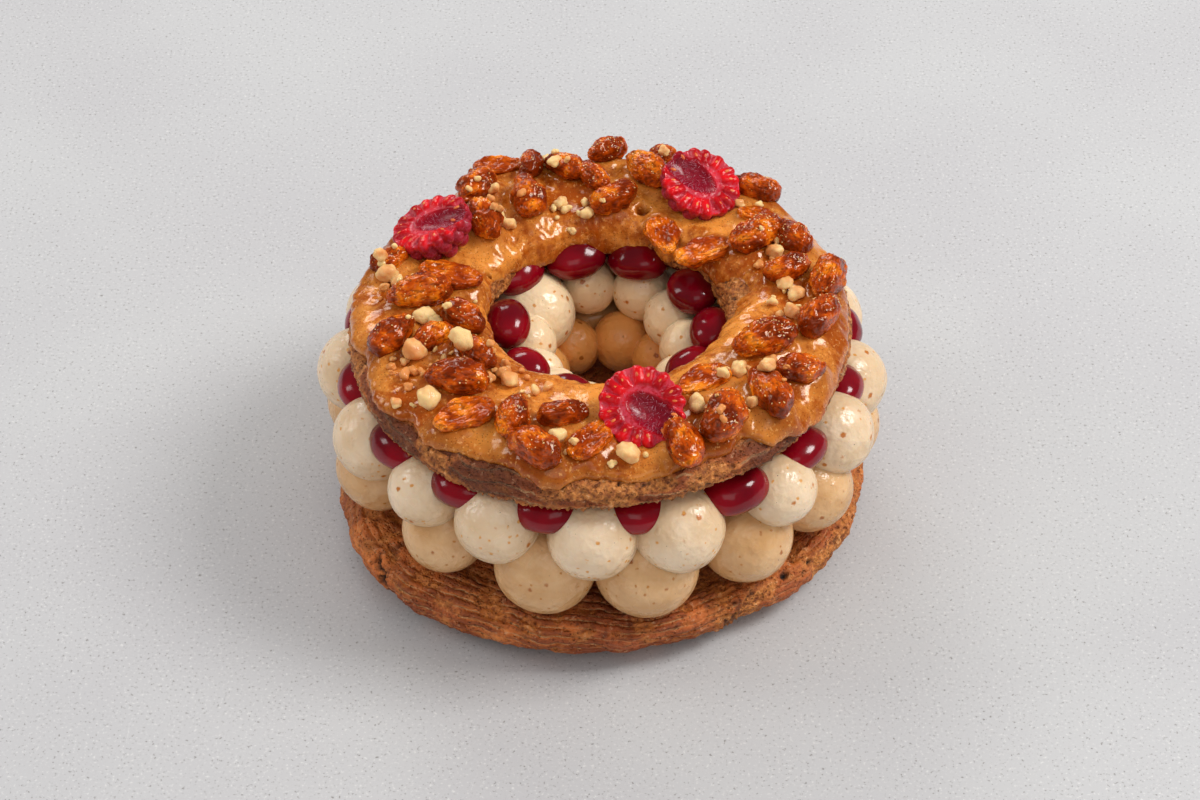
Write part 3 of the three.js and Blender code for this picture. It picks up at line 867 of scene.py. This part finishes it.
def nutFinish(name, look):
    tool = Finish(name)
    broad = tool.grain(3.2, 3, 0.6, 0.5)
    fine = tool.grain(0.55, 3, 0.7)
    wrinkle = tool.attribute("wrinkle")
    colour = tool.blend(tool.between(broad, 0.36, 0.62), look["deep"], look["warm"])
    # partly painted highlight: the raised parts of the broad relief take the bright colour, partly the
    # candy's own tone
    colour = tool.blend(tool.between(broad, 0.52, 0.7) * 0.8, colour, look["bright"])
    # painted shade: the creases of the wrinkles are darkened
    colour = tool.blend(tool.between(wrinkle, 0.35, 0.0) * 0.65, colour, look["creaseShade"])
    grains = tool.between(tool.cells(tool.place, 0.9), 0.22, 0.12) * tool.between(broad, 0.45, 0.6)
    colour = tool.blend(grains * 0.6, colour, look["sugar"])
    drops = tool.grain(1.2, 2, 0.5)
    bumps = [(broad, 0.5), (drops, 0.6), (fine, 0.05)]
    return tool.coat(colour, 0.07 + 0.1 * fine, bumps, (0.08, (0.002, 0.0007, 0.0002)), **{
        "Coat Weight": 0.22, "Coat Roughness": 0.04, "Specular Tint": (1.0, 0.8, 0.58, 1), "IOR": 1.44})


# the crease colour is painted shade in the wrinkles
nutLook = {
    # the bright colour is partly painted highlight on the raised parts
    "deep": "#762200", "warm": "#c84e04", "bright": "#f48e18", "creaseShade": "#440f00", "sugar": "#f4be70",
}
splitLook = {
    "deep": "#983200", "warm": "#d66004", "bright": "#f69626", "creaseShade": "#5a1800", "sugar": "#f4c678",
}
wholeNuts = nutPiece("whole_nuts", False, nutFinish("candiedNut", nutLook))
splitNuts = nutPiece("split_nuts", True, nutFinish("splitNut", splitLook))
print("nuts candied")


# grains of sugar stuck to the nuts

sugarShape = {"half": 0.2, "each": 0.42}          # mm, and grains to a square mm


def sugarGrains(nuts):
    cloud = copyOf("sugar_grains", nuts)
    tree = Pattern("sugar pattern", size=sugarShape["half"] * mm, spread=sugarShape["each"], seed=11)
    facing = tree.more(tree.split(tree.normal())[2], 0.3)
    thick = tree.between(tree.noise(tree.place(), 120.0), 0.44, 0.62) * tree.input("spread") * 1000000
    grain = tree.add("GeometryNodeMeshIcoSphere", {}, {"Radius": tree.input("size"), "Subdivisions": 1})
    spin = tree.rotation(tree.chance((0, 0, 0), (6, 6, 6)))
    wide = tree.chance((0.5, 0.5, 0.5), (1.5, 1.3, 1.2))
    grains = tree.instances(tree.scattered(facing, thick), grain, spin, wide)
    tree.finish(cloud, grains, plainFinish("sugarGrain", "#fbd9a0", "#e8a860", 0.12, 0.3))
    finishPiece(cloud, "nut")


sugarGrains(wholeNuts)


# praline glaze

glazeShape = {
    "section": [(57.8, 56.9, 1), (58.4, 57.6, 1), (57.6, 59.2, 1), (54.6, 60.6, .9), (49.5, 61.1, .9),
                (38.8, 61.1, .9), (32.9, 60.4, .9), (29.2, 58.4, 1), (28.0, 56.0, 1), (28.6, 54.6, .8),
                (30.2, 57.4, .3), (38.8, 58.7, .15), (49.5, 58.7, .15), (56.9, 57.7, .5)],
    "step": 0.5, "rounds": 760, "radius": 59, "holeRadius": 29.3,
    "outer": (-1.6, -1.2), "inner": (0.9, 2.2), "lean": 0.016,
    # how far the coat reaches at bearings round the lid: lobes where it ran on, notches where it stopped
    "edge": [(-172, 57.5), (-163, 55.5), (-146, 59), (-137, 56.5), (-130, 59), (-120, 57), (-112, 56.5),
             (-100, 60.3), (-92, 57), (-80, 59), (-66, 57.5), (-60, 58), (-54, 55.5), (-48, 60.3),
             (-36, 61.8), (-20, 60), (0, 59.5), (20, 60), (42, 60.5), (60, 59), (80, 58.5), (100, 59.8),
             (120, 58), (140, 59.4), (160, 57.2), (175, 58)],
    # how far down the hole's wall it hangs at bearings round the hole, mm
    "hang": [(-165, 0.4), (-130, 1.4), (-95, 2.2), (-55, 1.2), (-25, 0), (8, -0.6), (30, 0.4), (50, 2.4),
             (65, 3.6), (95, 4), (125, 3.6), (142, 1), (160, -0.4)],
    # where it stopped short of the hole and left the wall bare, mm
    "bare": [(-40, 0), (-14, 0.6), (0, 2.4), (8, 4.6), (15, 3.6), (24, 0), (120, 0), (150, 1.0), (172, 0)],
    "pits": [(10.2, 35.2, 2.0), (4.5, 28.7, 1.1), (-27, 14, 0.9)],     # burst bubbles: x, y and half width
    "meniscus": 1.3, "reach": 1.5,          # how high and how far the glaze climbs round a nut, mm
    "middleEdge": 58.2, "swell": 0.55, "scallop": 1.1, "pitDepth": 2.6,
}


def climbAt(places):
    # how far the glaze is drawn up beside the nuts: 1 against a nut
    climb = np.zeros(len(places))
    for seat in seats.values():
        local = (places - seat["at"]) @ seat["axes"].T
        away = np.sqrt((local[:, 0] / seat["half"][0]) ** 2 + (local[:, 1] / seat["half"][1]) ** 2)
        gapTo = (away - 1) * seat["half"][1]
        climb = np.maximum(climb, np.exp(-np.clip(gapTo, 0, None) ** 2 / glazeShape["reach"] ** 2))
    return climb


def glazeRing():
    shape = glazeShape
    piece, places, normal, turn, out, up, _ = ringPiece("praline_glaze_coat", shape, lambda angle: 0)
    angle = np.radians(turn)
    level = (1, 1, 0)
    outwards = np.stack([np.cos(angle), np.sin(angle), 0 * angle], 1)
    rim = smoothstep(out, 53, 58)
    reach = roundTheRing(shape["edge"], turn) - shape["middleEdge"]
    reach = reach + 0.6 * waves(places * level, 2.6, 2, 21)
    spread = rim * reach
    places += spread[:, None] * outwards
    drop = np.clip(spread - 0.6, 0, None)
    places[:, 2] -= smoothstep(out, 55, 58.4) * (0.9 * drop - 0.25 * np.clip(-reach, 0, 2))
    bare = roundTheRing(shape["bare"], turn) + 0.5 * waves(places * level, 2.2, 2, 26)
    places += (smoothstep(out, 40, 31) * bare)[:, None] * outwards
    inner = smoothstep(out, 32, 29) * waves(40 * outwards, 9, 2, 24)
    hang = roundTheRing(shape["hang"], turn) + 0.7 * waves(places * level, 3, 2, 25)
    places -= (inner * shape["scallop"])[:, None] * outwards
    places[:, 2] -= smoothstep(up, 58.6, 54.8) * smoothstep(out, 31, 29) * hang
    top = smoothstep(up, 56.5, 58.5)
    flow = waves(places * (1, 1, 0.5), 8, 2, 22) + 0.45 * waves(places, 3.2, 2, 23)
    climb = climbAt(places)
    sunk = np.zeros(len(places))
    for x, y, wide in shape["pits"]:
        away = np.hypot(places[:, 0] - x, (places[:, 1] - y) * 1.3)
        sunk = np.maximum(sunk, smoothstep(away, wide, wide * 0.4))
    places += normal * (top * shape["swell"] * flow)[:, None]
    places[:, 2] -= top * sunk * shape["pitDepth"]
    places[:, 2] += top * shape["meniscus"] * climb
    setPoints(piece.data, places)
    # darker at the thin outer rim, with painted shade against the nuts and in the burst pits
    mark(piece, thin=np.clip(rim * 0.5 + 0.5 * climb * top + 1.6 * sunk, 0, 1.4))
    piece.data.materials.append(glazeFinish(glazeLook))
    finishPiece(piece, "glaze", "praline_glaze")
    return piece


glaze = glazeRing()
print("glaze poured")


# raspberry halves

berryShape = {
    "length": 20.4, "width": 19.4, "top": 71.8,       # mm; no berry stands higher than its top
    "cells": 15, "opening": 20,                       # drupelets round the rim, and half the stem gap
    "cellHalf": (2.6, 1.95, 2.5), "cellHeight": -1.2,
    # the rows of drupelets below: share of the way out, height and how many
    "rows": [(0.94, -3.4, 13), (0.72, -6.2, 9), (0.3, -7.7, 4)],
    "rowHalf": (2.2, 2.05, 2.2), "rowInset": 2.0,
    "body": (-0.2, 0, -0.3), "bodyHalf": (9.5, 8.9, 7.4),
    "hollow": (3.4, 0, 1.2), "hollowHalf": (7.8, 4.1, 3.6),
    "dome": 0.6, "groove": 0.3,                       # relief of the cut face, mm
    "seed": (0.8, 0.4, 0.32), "seedHeight": 0.3,
    "hairs": 1100.0, "hairLength": 1.3, "hairHalf": 0.055,     # thousands to a square metre; mm
}
berryPlaces = {
    # bearing of the stem gap, and how the cut face leans to the front and to the right; degrees
    "raspberry_front": {"turn": -38, "tip": 32, "roll": -4},
    "raspberry_left": {"turn": -12, "tip": 0, "roll": -24},
    "raspberry_back": {"turn": 150, "tip": 20, "roll": 14},
}


def rimCells():
    # the cut drupelets round the rim: bearing, middle and size of each
    shape = berryShape
    cells = []
    for i in range(shape["cells"]):
        turn = 180 + (180 - shape["opening"]) * (2 * i / (shape["cells"] - 1) - 1) + 3 * sin(2.3 * i)
        size = 1 + 0.1 * sin(3.1 * i)
        x = (shape["length"] / 2 - shape["cellHalf"][0] * size) * cos(radians(turn))
        y = (shape["width"] / 2 - shape["cellHalf"][0] * size) * sin(radians(turn))
        cells.append((turn, x, y, size))
    return cells


def berryRows():
    shape = berryShape
    rows = []
    for turn, x, y, size in rimCells():
        half = tuple(side * size for side in shape["cellHalf"])
        rows.append({"at": (x, y, shape["cellHeight"]), "half": half, "turn": (0, 0.1, radians(turn))})
    for share, height, count in shape["rows"]:
        for i in range(count):
            turn = 360 * (i + 0.5 * (count % 2)) / count + 11 * share
            x = share * (shape["length"] / 2 - shape["rowInset"]) * cos(radians(turn))
            y = share * (shape["width"] / 2 - shape["rowInset"]) * sin(radians(turn))
            tilt = radians(70 * (1 - share) + 12)
            rows.append({"at": (x, y, height), "half": shape["rowHalf"], "turn": (0, tilt, radians(turn))})
    return rows


def berryTurn(node):
    pose = berryPlaces[node]
    roll = Matrix.Rotation(radians(pose["roll"]), 3, "Y")
    tip = Matrix.Rotation(radians(pose["tip"]), 3, "X")
    return roll @ tip @ Matrix.Rotation(radians(pose["turn"]), 3, "Z")


def berryFinish(look):
    tool = Finish("raspberryFlesh")
    wall = tool.attribute("wall")
    core = tool.attribute("core")
    skin = tool.attribute("skin")
    broad = tool.grain(2.4, 3)
    fine = tool.grain(0.35, 3, 0.7)
    colour = tool.blend(tool.between(broad, 0.35, 0.65), look["deep"], look["bright"])
    bloom = tool.blend(tool.between(fine, 0.42, 0.7) * 0.6, look["skin"], look["bloom"])
    colour = tool.blend(skin, colour, bloom)
    inside = tool.blend(tool.between(fine, 0.5, 0.72) * 0.35, look["core"], look["wall"])
    colour = tool.blend(core, colour, inside)
    colour = tool.blend(wall * tool.between(fine, 0.3, 0.6) * 0.7, colour, look["wall"])
    bumps = [(broad, 0.3), (fine, 0.12)]
    return tool.coat(colour, 0.1 + 0.2 * fine + 0.35 * skin, bumps, (0.3, (0.003, 0.0004, 0.0004)), **{
        "Coat Weight": 0.2, "Coat Roughness": 0.1, "IOR": 1.38})


berryLook = {
    "deep": "#a8000e", "bright": "#dc0a16", "skin": "#98081e", "bloom": "#c04a64",
    "core": "#8c0a22", "wall": "#d04c60",
}
berryFlesh = berryFinish(berryLook)


def berryMarks(piece, shape):
    # numbers at each point that say what it is: skin, cut cell, wall between cells, or hollow
    places = pointsOf(piece.data)
    inHollow = (places - shape["hollow"]) / shape["hollowHalf"]
    core = smoothstep(np.linalg.norm(inHollow, axis=1), 1.05, 1.0)
    bearing = np.degrees(np.arctan2(places[:, 1], places[:, 0]))
    radius = np.hypot(places[:, 0], places[:, 1])
    side = np.full(len(places), 9.0)
    for turn, _, _, size in rimCells():
        away = np.abs((bearing - turn + 180) % 360 - 180)
        side = np.minimum(side, np.radians(away) * radius / size)
    side = side + 0.22 * waves(places, 1.6, 2, 32)
    onTop = smoothstep(places[:, 2], -1.2, -0.3)
    wall = smoothstep(side, 0.85, 1.25) * onTop + smoothstep(radius, 5.4, 4.6) * onTop
    below = smoothstep(places[:, 2], -0.7, -1.6)
    share = np.hypot(places[:, 0] / (shape["length"] / 2), places[:, 1] / (shape["width"] / 2))
    outer = smoothstep(share, 0.94, 1.02)
    skin = np.maximum(below, outer) * (1 - core)
    level = smoothstep(places[:, 2], -0.6, 0.2) * (1 - core)
    places[:, 2] = np.where(places[:, 2] > -0.2, -0.2 + (places[:, 2] + 0.2) * 0.1, places[:, 2])
    dome = 1 - np.clip(side / 1.35, 0, 1.2) ** 2
    ends = smoothstep(radius, 4.4, 6.0) * smoothstep(share, 1.0, 0.86)
    places[:, 2] += level * (shape["dome"] * dome * ends - shape["groove"] * wall * ends)
    places += 0.12 * waves(places, 1.3, 2, 31)[:, None] * faceNormals(piece)
    marks = {"core": core * (1 - onTop * 0.4), "skin": skin, "wall": wall * (1 - core)}
    mark(piece, **{key: np.clip(values, 0, 1) for key, values in marks.items()})
    return places


def inMetres(sides):
    return tuple(side * mm for side in sides)


def raspberry(node):
    shape = berryShape
    cloud = pointCloud(node + "_half", berryRows())
    length, width, depth = shape["hollowHalf"]
    tree = Pattern(node + " pattern", fineness=4, bodyFineness=6, hollowLength=length, hollowWidth=width,
                   hollowDepth=depth)
    ball = tree.ball()
    x, y, z = tree.split(tree.place())
    flesh = tree.shaped(tree.ball("bodyFineness"), tree.join(x, y, tree.sum("MINIMUM", z, z * 0.06)))
    flesh = tree.moved(flesh, inMetres(shape["body"]), inMetres(shape["bodyHalf"]))
    welded = tree.cut("UNION", {1: [tree.repeated(ball), flesh]})
    size = tree.join(tree.input("hollowLength"), tree.input("hollowWidth"), tree.input("hollowDepth"))
    hollow = tree.moved(ball, inMetres(shape["hollow"]), tree.stretched(size, (mm, mm, mm)))
    tree.finish(cloud, tree.cut("DIFFERENCE", {0: welded, 1: hollow}), berryFlesh)
    places = berryMarks(cloud, shape) @ np.array(berryTurn(node)).T
    low, high = nodeBox(node)
    home = (low + high - places.min(0) - places.max(0)) / 2
    home[2] = min(home[2], shape["top"] - places[:, 2].max())
    setPoints(cloud.data, places + home)
    cloud.data.shade_smooth()
    finishPiece(cloud, "berry", node)
    return home, cloud


def berrySeeds(name, homes, material):
    # a seed in each cut drupelet
    rows = []
    for node, home in homes.items():
        turned = berryTurn(node)
        for i, (turn, x, y, _) in enumerate(rimCells()):
            spin = turned @ Matrix.Rotation(radians(turn + 12 * sin(4 * i)), 3, "Z")
            at = turned @ Vector((x, y, berryShape["seedHeight"])) + Vector(home)
            rows.append({"at": tuple(at), "half": berryShape["seed"], "turn": tuple(spin.to_euler())})
    cloud = pointCloud(name, rows)
    tree = Pattern(name + " pattern", fineness=2)
    tree.finish(cloud, tree.repeated(tree.ball()), material)
    cloud.data.shade_smooth()
    finishPiece(cloud, "berry")


def berryHairs(name, flesh, material):
    # fine pale hairs that stand on the walls of the hollows
    cloud = copyOf(name, flesh)
    tree = Pattern(name + " pattern", thickness=berryShape["hairHalf"] * mm, seed=5,
                   length=berryShape["hairLength"] * mm, spread=berryShape["hairs"])
    dots = tree.scattered(tree.more(tree.named("core"), 0.5), tree.input("spread") * 1000)
    aim = Wire(tree, dots.socket.node.outputs["Rotation"])
    lean = tree.rotation(tree.chance((-0.9, -0.9, 0), (0.9, 0.9, 6.2)))
    aim = tree.add("FunctionNodeRotateRotation", {"rotation_space": "LOCAL"}, {0: aim, 1: lean})
    sockets = {"Radius Bottom": tree.input("thickness"), "Depth": tree.input("length")}
    hair = tree.add("GeometryNodeMeshCone", {}, {"Vertices": 4, "Radius Top": 0.0, **sockets})
    tree.finish(cloud, tree.instances(dots, hair, aim, (1, 1, 1)), material)
    finishPiece(cloud, "berry")


homes = {}
seedFinish = plainFinish("berrySeed", "#e6823c", "#d05a28", 0.3, 0.2)
hairFinish = plainFinish("berryHair", "#d896a4", "#b86a80", 0.6, 0.0)
for node in berryPlaces:
    homes[node], flesh = raspberry(node)
    berryHairs(node + "_hairs", flesh, hairFinish)
berrySeeds("raspberry_seeds", homes, seedFinish)
print("berries halved")


# chopped nuts

choppedShape = {
    "crumbsEach": 2, "crumbWidth": (1.2, 2.7), "crumbAway": (0.5, 3.4), "seed": 7,
    "steepest": 0.55,            # a crumb stays only where the surface faces up this much
    # each piece: x, y on the glaze and its width, mm
    "bits": [(-43, -21, 6.5), (-32, -21, 7.0), (-45, -27, 3.8), (-43, -26, 3.0), (-39, -36, 6.0),
             (-46.5, -35, 3.0), (-25, -25, 3.8), (-22.5, -27, 4.2), (-21, -29.5, 4.7), (-25.5, -29.5, 3.4),
             (-22, -23.5, 3.4), (-15, -33, 3.4), (-41.5, -6.5, 6.0), (-39, -8, 3.8), (-27.5, 0, 2.6),
             (-13.5, 54, 4.2), (-11.5, 48, 4.2), (-26.5, 41, 3.8), (-22.5, 29, 4.2), (-24.5, 30.5, 3.0),
             (-10, 37, 4.2), (-8.5, 35, 3.4), (-3.5, 33.5, 4.2), (-3.6, 29, 3.8), (15.4, 53.4, 3.4),
             (37.5, 38.5, 5.1), (41.3, 16, 5.1), (37.3, 12, 3.0), (43.3, 3, 4.2), (45.7, 0.2, 4.7),
             (40, -2.4, 3.0), (44.5, -7, 5.1), (31.2, -27, 4.7), (38.6, -25, 3.8), (37.5, -32, 4.7),
             (27.5, -31.5, 3.8), (21.5, -39.4, 5.5), (34, -39.4, 3.8), (-9.7, -49, 4.7), (6, -55, 6.0),
             (-34.5, -22.5, 2.3), (-36.5, -21, 2.3), (-48, -24, 2.6), (-44, -31, 2.6), (27, -51, 2.3),
             (-29, 34, 3.4), (-51, 9, 6.0), (-49, 11.5, 5.1), (-52.5, 12, 3.8), (-48.5, 7.4, 3.8),
             (-51.5, 5.8, 3.0)],
}


def surfaceUnder(piece):
    # a rule that gives the height and slope of a piece's top below a place
    tree = BVHTree.FromObject(piece, bpy.context.evaluated_depsgraph_get())

    def drop(x, y):
        hit, normal, _, _ = tree.ray_cast(Vector((x, y, 100)) * mm, Vector((0, 0, -1)))
        return (hit.z / mm, normal) if hit else (None, None)
    return drop


def choppedFinish(look):
    tool = Finish("choppedNut")
    broad = tool.grain(1.6, 3)
    fine = tool.grain(0.4, 3, 0.6)
    tone = 0.65 * tool.grain(6, 0) + 0.35 * broad
    colour = tool.blend(tool.between(tone, 0.42, 0.6), look["pale"], look["toast"])
    glow = (0.3, (0.002, 0.0012, 0.0006))
    return tool.coat(colour, 0.42 + 0.2 * fine, [(fine, 0.2)], glow, **{"Coat Weight": 0.15})


choppedLook = {"pale": "#f4cc8a", "toast": "#dc8c44"}


def choppedRows():
    # the pieces, and crumbs at random places round each, dropped on whatever lies below
    shape = choppedShape
    drops = [surfaceUnder(piece) for piece in (glaze, wholeNuts, splitNuts)]
    dice = np.random.default_rng(shape["seed"])
    bits = list(shape["bits"])
    for x, y, wide in shape["bits"]:
        for _ in range(shape["crumbsEach"]):
            away = 0.5 * wide + dice.uniform(*shape["crumbAway"])
            at = onRing(dice.uniform(0, 360), away, (x, y))
            bits.append((*at, dice.uniform(*shape["crumbWidth"])))
    rows = []
    for i, (x, y, wide) in enumerate(bits):
        hits = [hit for hit in (drop(x, y) for drop in drops) if hit[0] is not None]
        if not hits:
            continue
        height, normal = max(hits, key=lambda hit: hit[0])
        if normal.z < shape["steepest"]:
            continue
        half = (0.5 * wide, 0.42 * wide * (1 + 0.2 * sin(5 * i)), 0.38 * wide)
        spin = (0.5 * sin(9 * i), 0.5 * cos(4 * i), 2.4 * i)
        rows.append({"at": (x, y, height + 0.3 * wide), "half": half, "turn": spin})
    return rows


def choppedNuts():
    cloud = pointCloud("chopped_nuts", choppedRows())
    tree = Pattern("chopped nuts pattern", fineness=3, chip=0.42 * mm)
    bits = tree.realized(tree.repeated(tree.ball()))
    facet = tree.add("ShaderNodeTexVoronoi", {}, {"Vector": tree.place(), "Scale": 520.0})
    push = (facet - 0.35) * tree.input("chip") * -2.6          # chips the balls into facets
    bits = tree.pushed(bits, tree.scaled(tree.normal(), push))
    tree.finish(cloud, bits, choppedFinish(choppedLook))
    cloud.data.shade_smooth()
    finishPiece(cloud, "nut")


choppedNuts()
print("nuts scattered")


# floor, light and camera

floorLook = {"half": 1.6, "pale": "#bfc0c1", "deep": "#bababc", "grit": "#77746f", "glint": "#dcdcda"}
lamps = {
    # each soft light: place in metres, width and height, power and colour
    "keyLight": ((0.98, 0.02, 1.17), (0.52, 0.52), 14.3, (1.0, 0.985, 0.965)),
    "backLight": ((-0.35, 1.0, 0.8), (0.6, 0.3), 3.4, (1.0, 0.99, 0.98)),
    "frontLight": ((0.15, -1.0, 1.1), (0.8, 0.6), 1.4, (1.0, 0.985, 0.97)),
    "sideLight": ((-1.15, 0.1, 0.75), (0.35, 0.5), 2.6, (1.0, 0.98, 0.96)),
}
lampAim = (0, 0, 0.03)
air = {"colour": (1.0, 0.975, 0.97, 1), "strength": 0.64, "darker": 0.52}     # darker in reflections
view = {"lens": 86.7, "sensor": 36, "tilt": 41, "aim": (-0.35, -0.95, 31), "far": 0.7}


def paleFloor(look):
    side = look["half"] / mm
    corners = [(-side, -side, 0), (side, -side, 0), (side, side, 0), (-side, side, 0)]
    floor = meshPiece("floor", corners, [(0, 1, 2, 3)])
    floor.data.shade_flat()
    tool = Finish("paleStone")
    soft = tool.grain(40, 2)
    grit = tool.grain(0.42, 3, 0.65)
    colour = tool.blend(tool.between(soft, 0.3, 0.7), look["deep"], look["pale"])
    colour = tool.blend(tool.between(grit, 0.6, 0.68) * 0.75, colour, look["grit"])
    colour = tool.blend(tool.between(grit, 0.44, 0.3) * 0.6, colour, look["glint"])
    floor.data.materials.append(tool.coat(colour, 0.7))


def aimed(thing, place, aim):
    thing.location = place
    thing.rotation_euler = (Vector(aim) - Vector(place)).to_track_quat("-Z", "Y").to_euler()


def softLight(name, place, size, power, colour):
    lamp = bpy.data.lights.new(name, "AREA")
    lamp.shape = "RECTANGLE"
    lamp.size, lamp.size_y = size
    lamp.energy = power
    lamp.color = colour
    aimed(newObject(name, lamp), place, lampAim)


def studio():
    paleFloor(floorLook)
    for name, settings in lamps.items():
        softLight(name, *settings)
    world = bpy.data.worlds.new("studioAir")
    world.use_nodes = True
    tool = Bench(world.node_tree)
    strength = air["strength"] - air["darker"] * tool.add("ShaderNodeLightPath", out=3)
    sky = tool.add("ShaderNodeBackground", {}, {"Color": air["colour"], "Strength": strength})
    tool.add("ShaderNodeOutputWorld", {}, {"Surface": sky})
    bpy.context.scene.world = world
    bpy.context.scene.view_settings.view_transform = "Standard"


def camera():
    lens = bpy.data.cameras.new("camera")
    lens.lens = view["lens"]
    lens.sensor_width = view["sensor"]
    lens.clip_start = 0.01
    tilt = radians(view["tilt"])
    aim = Vector(view["aim"]) * mm
    back = Vector((0, -cos(tilt), sin(tilt)))
    eye = newObject("camera", lens)
    aimed(eye, aim + back * view["far"], aim)
    bpy.context.scene.camera = eye


studio()
camera()
print("studio lit")
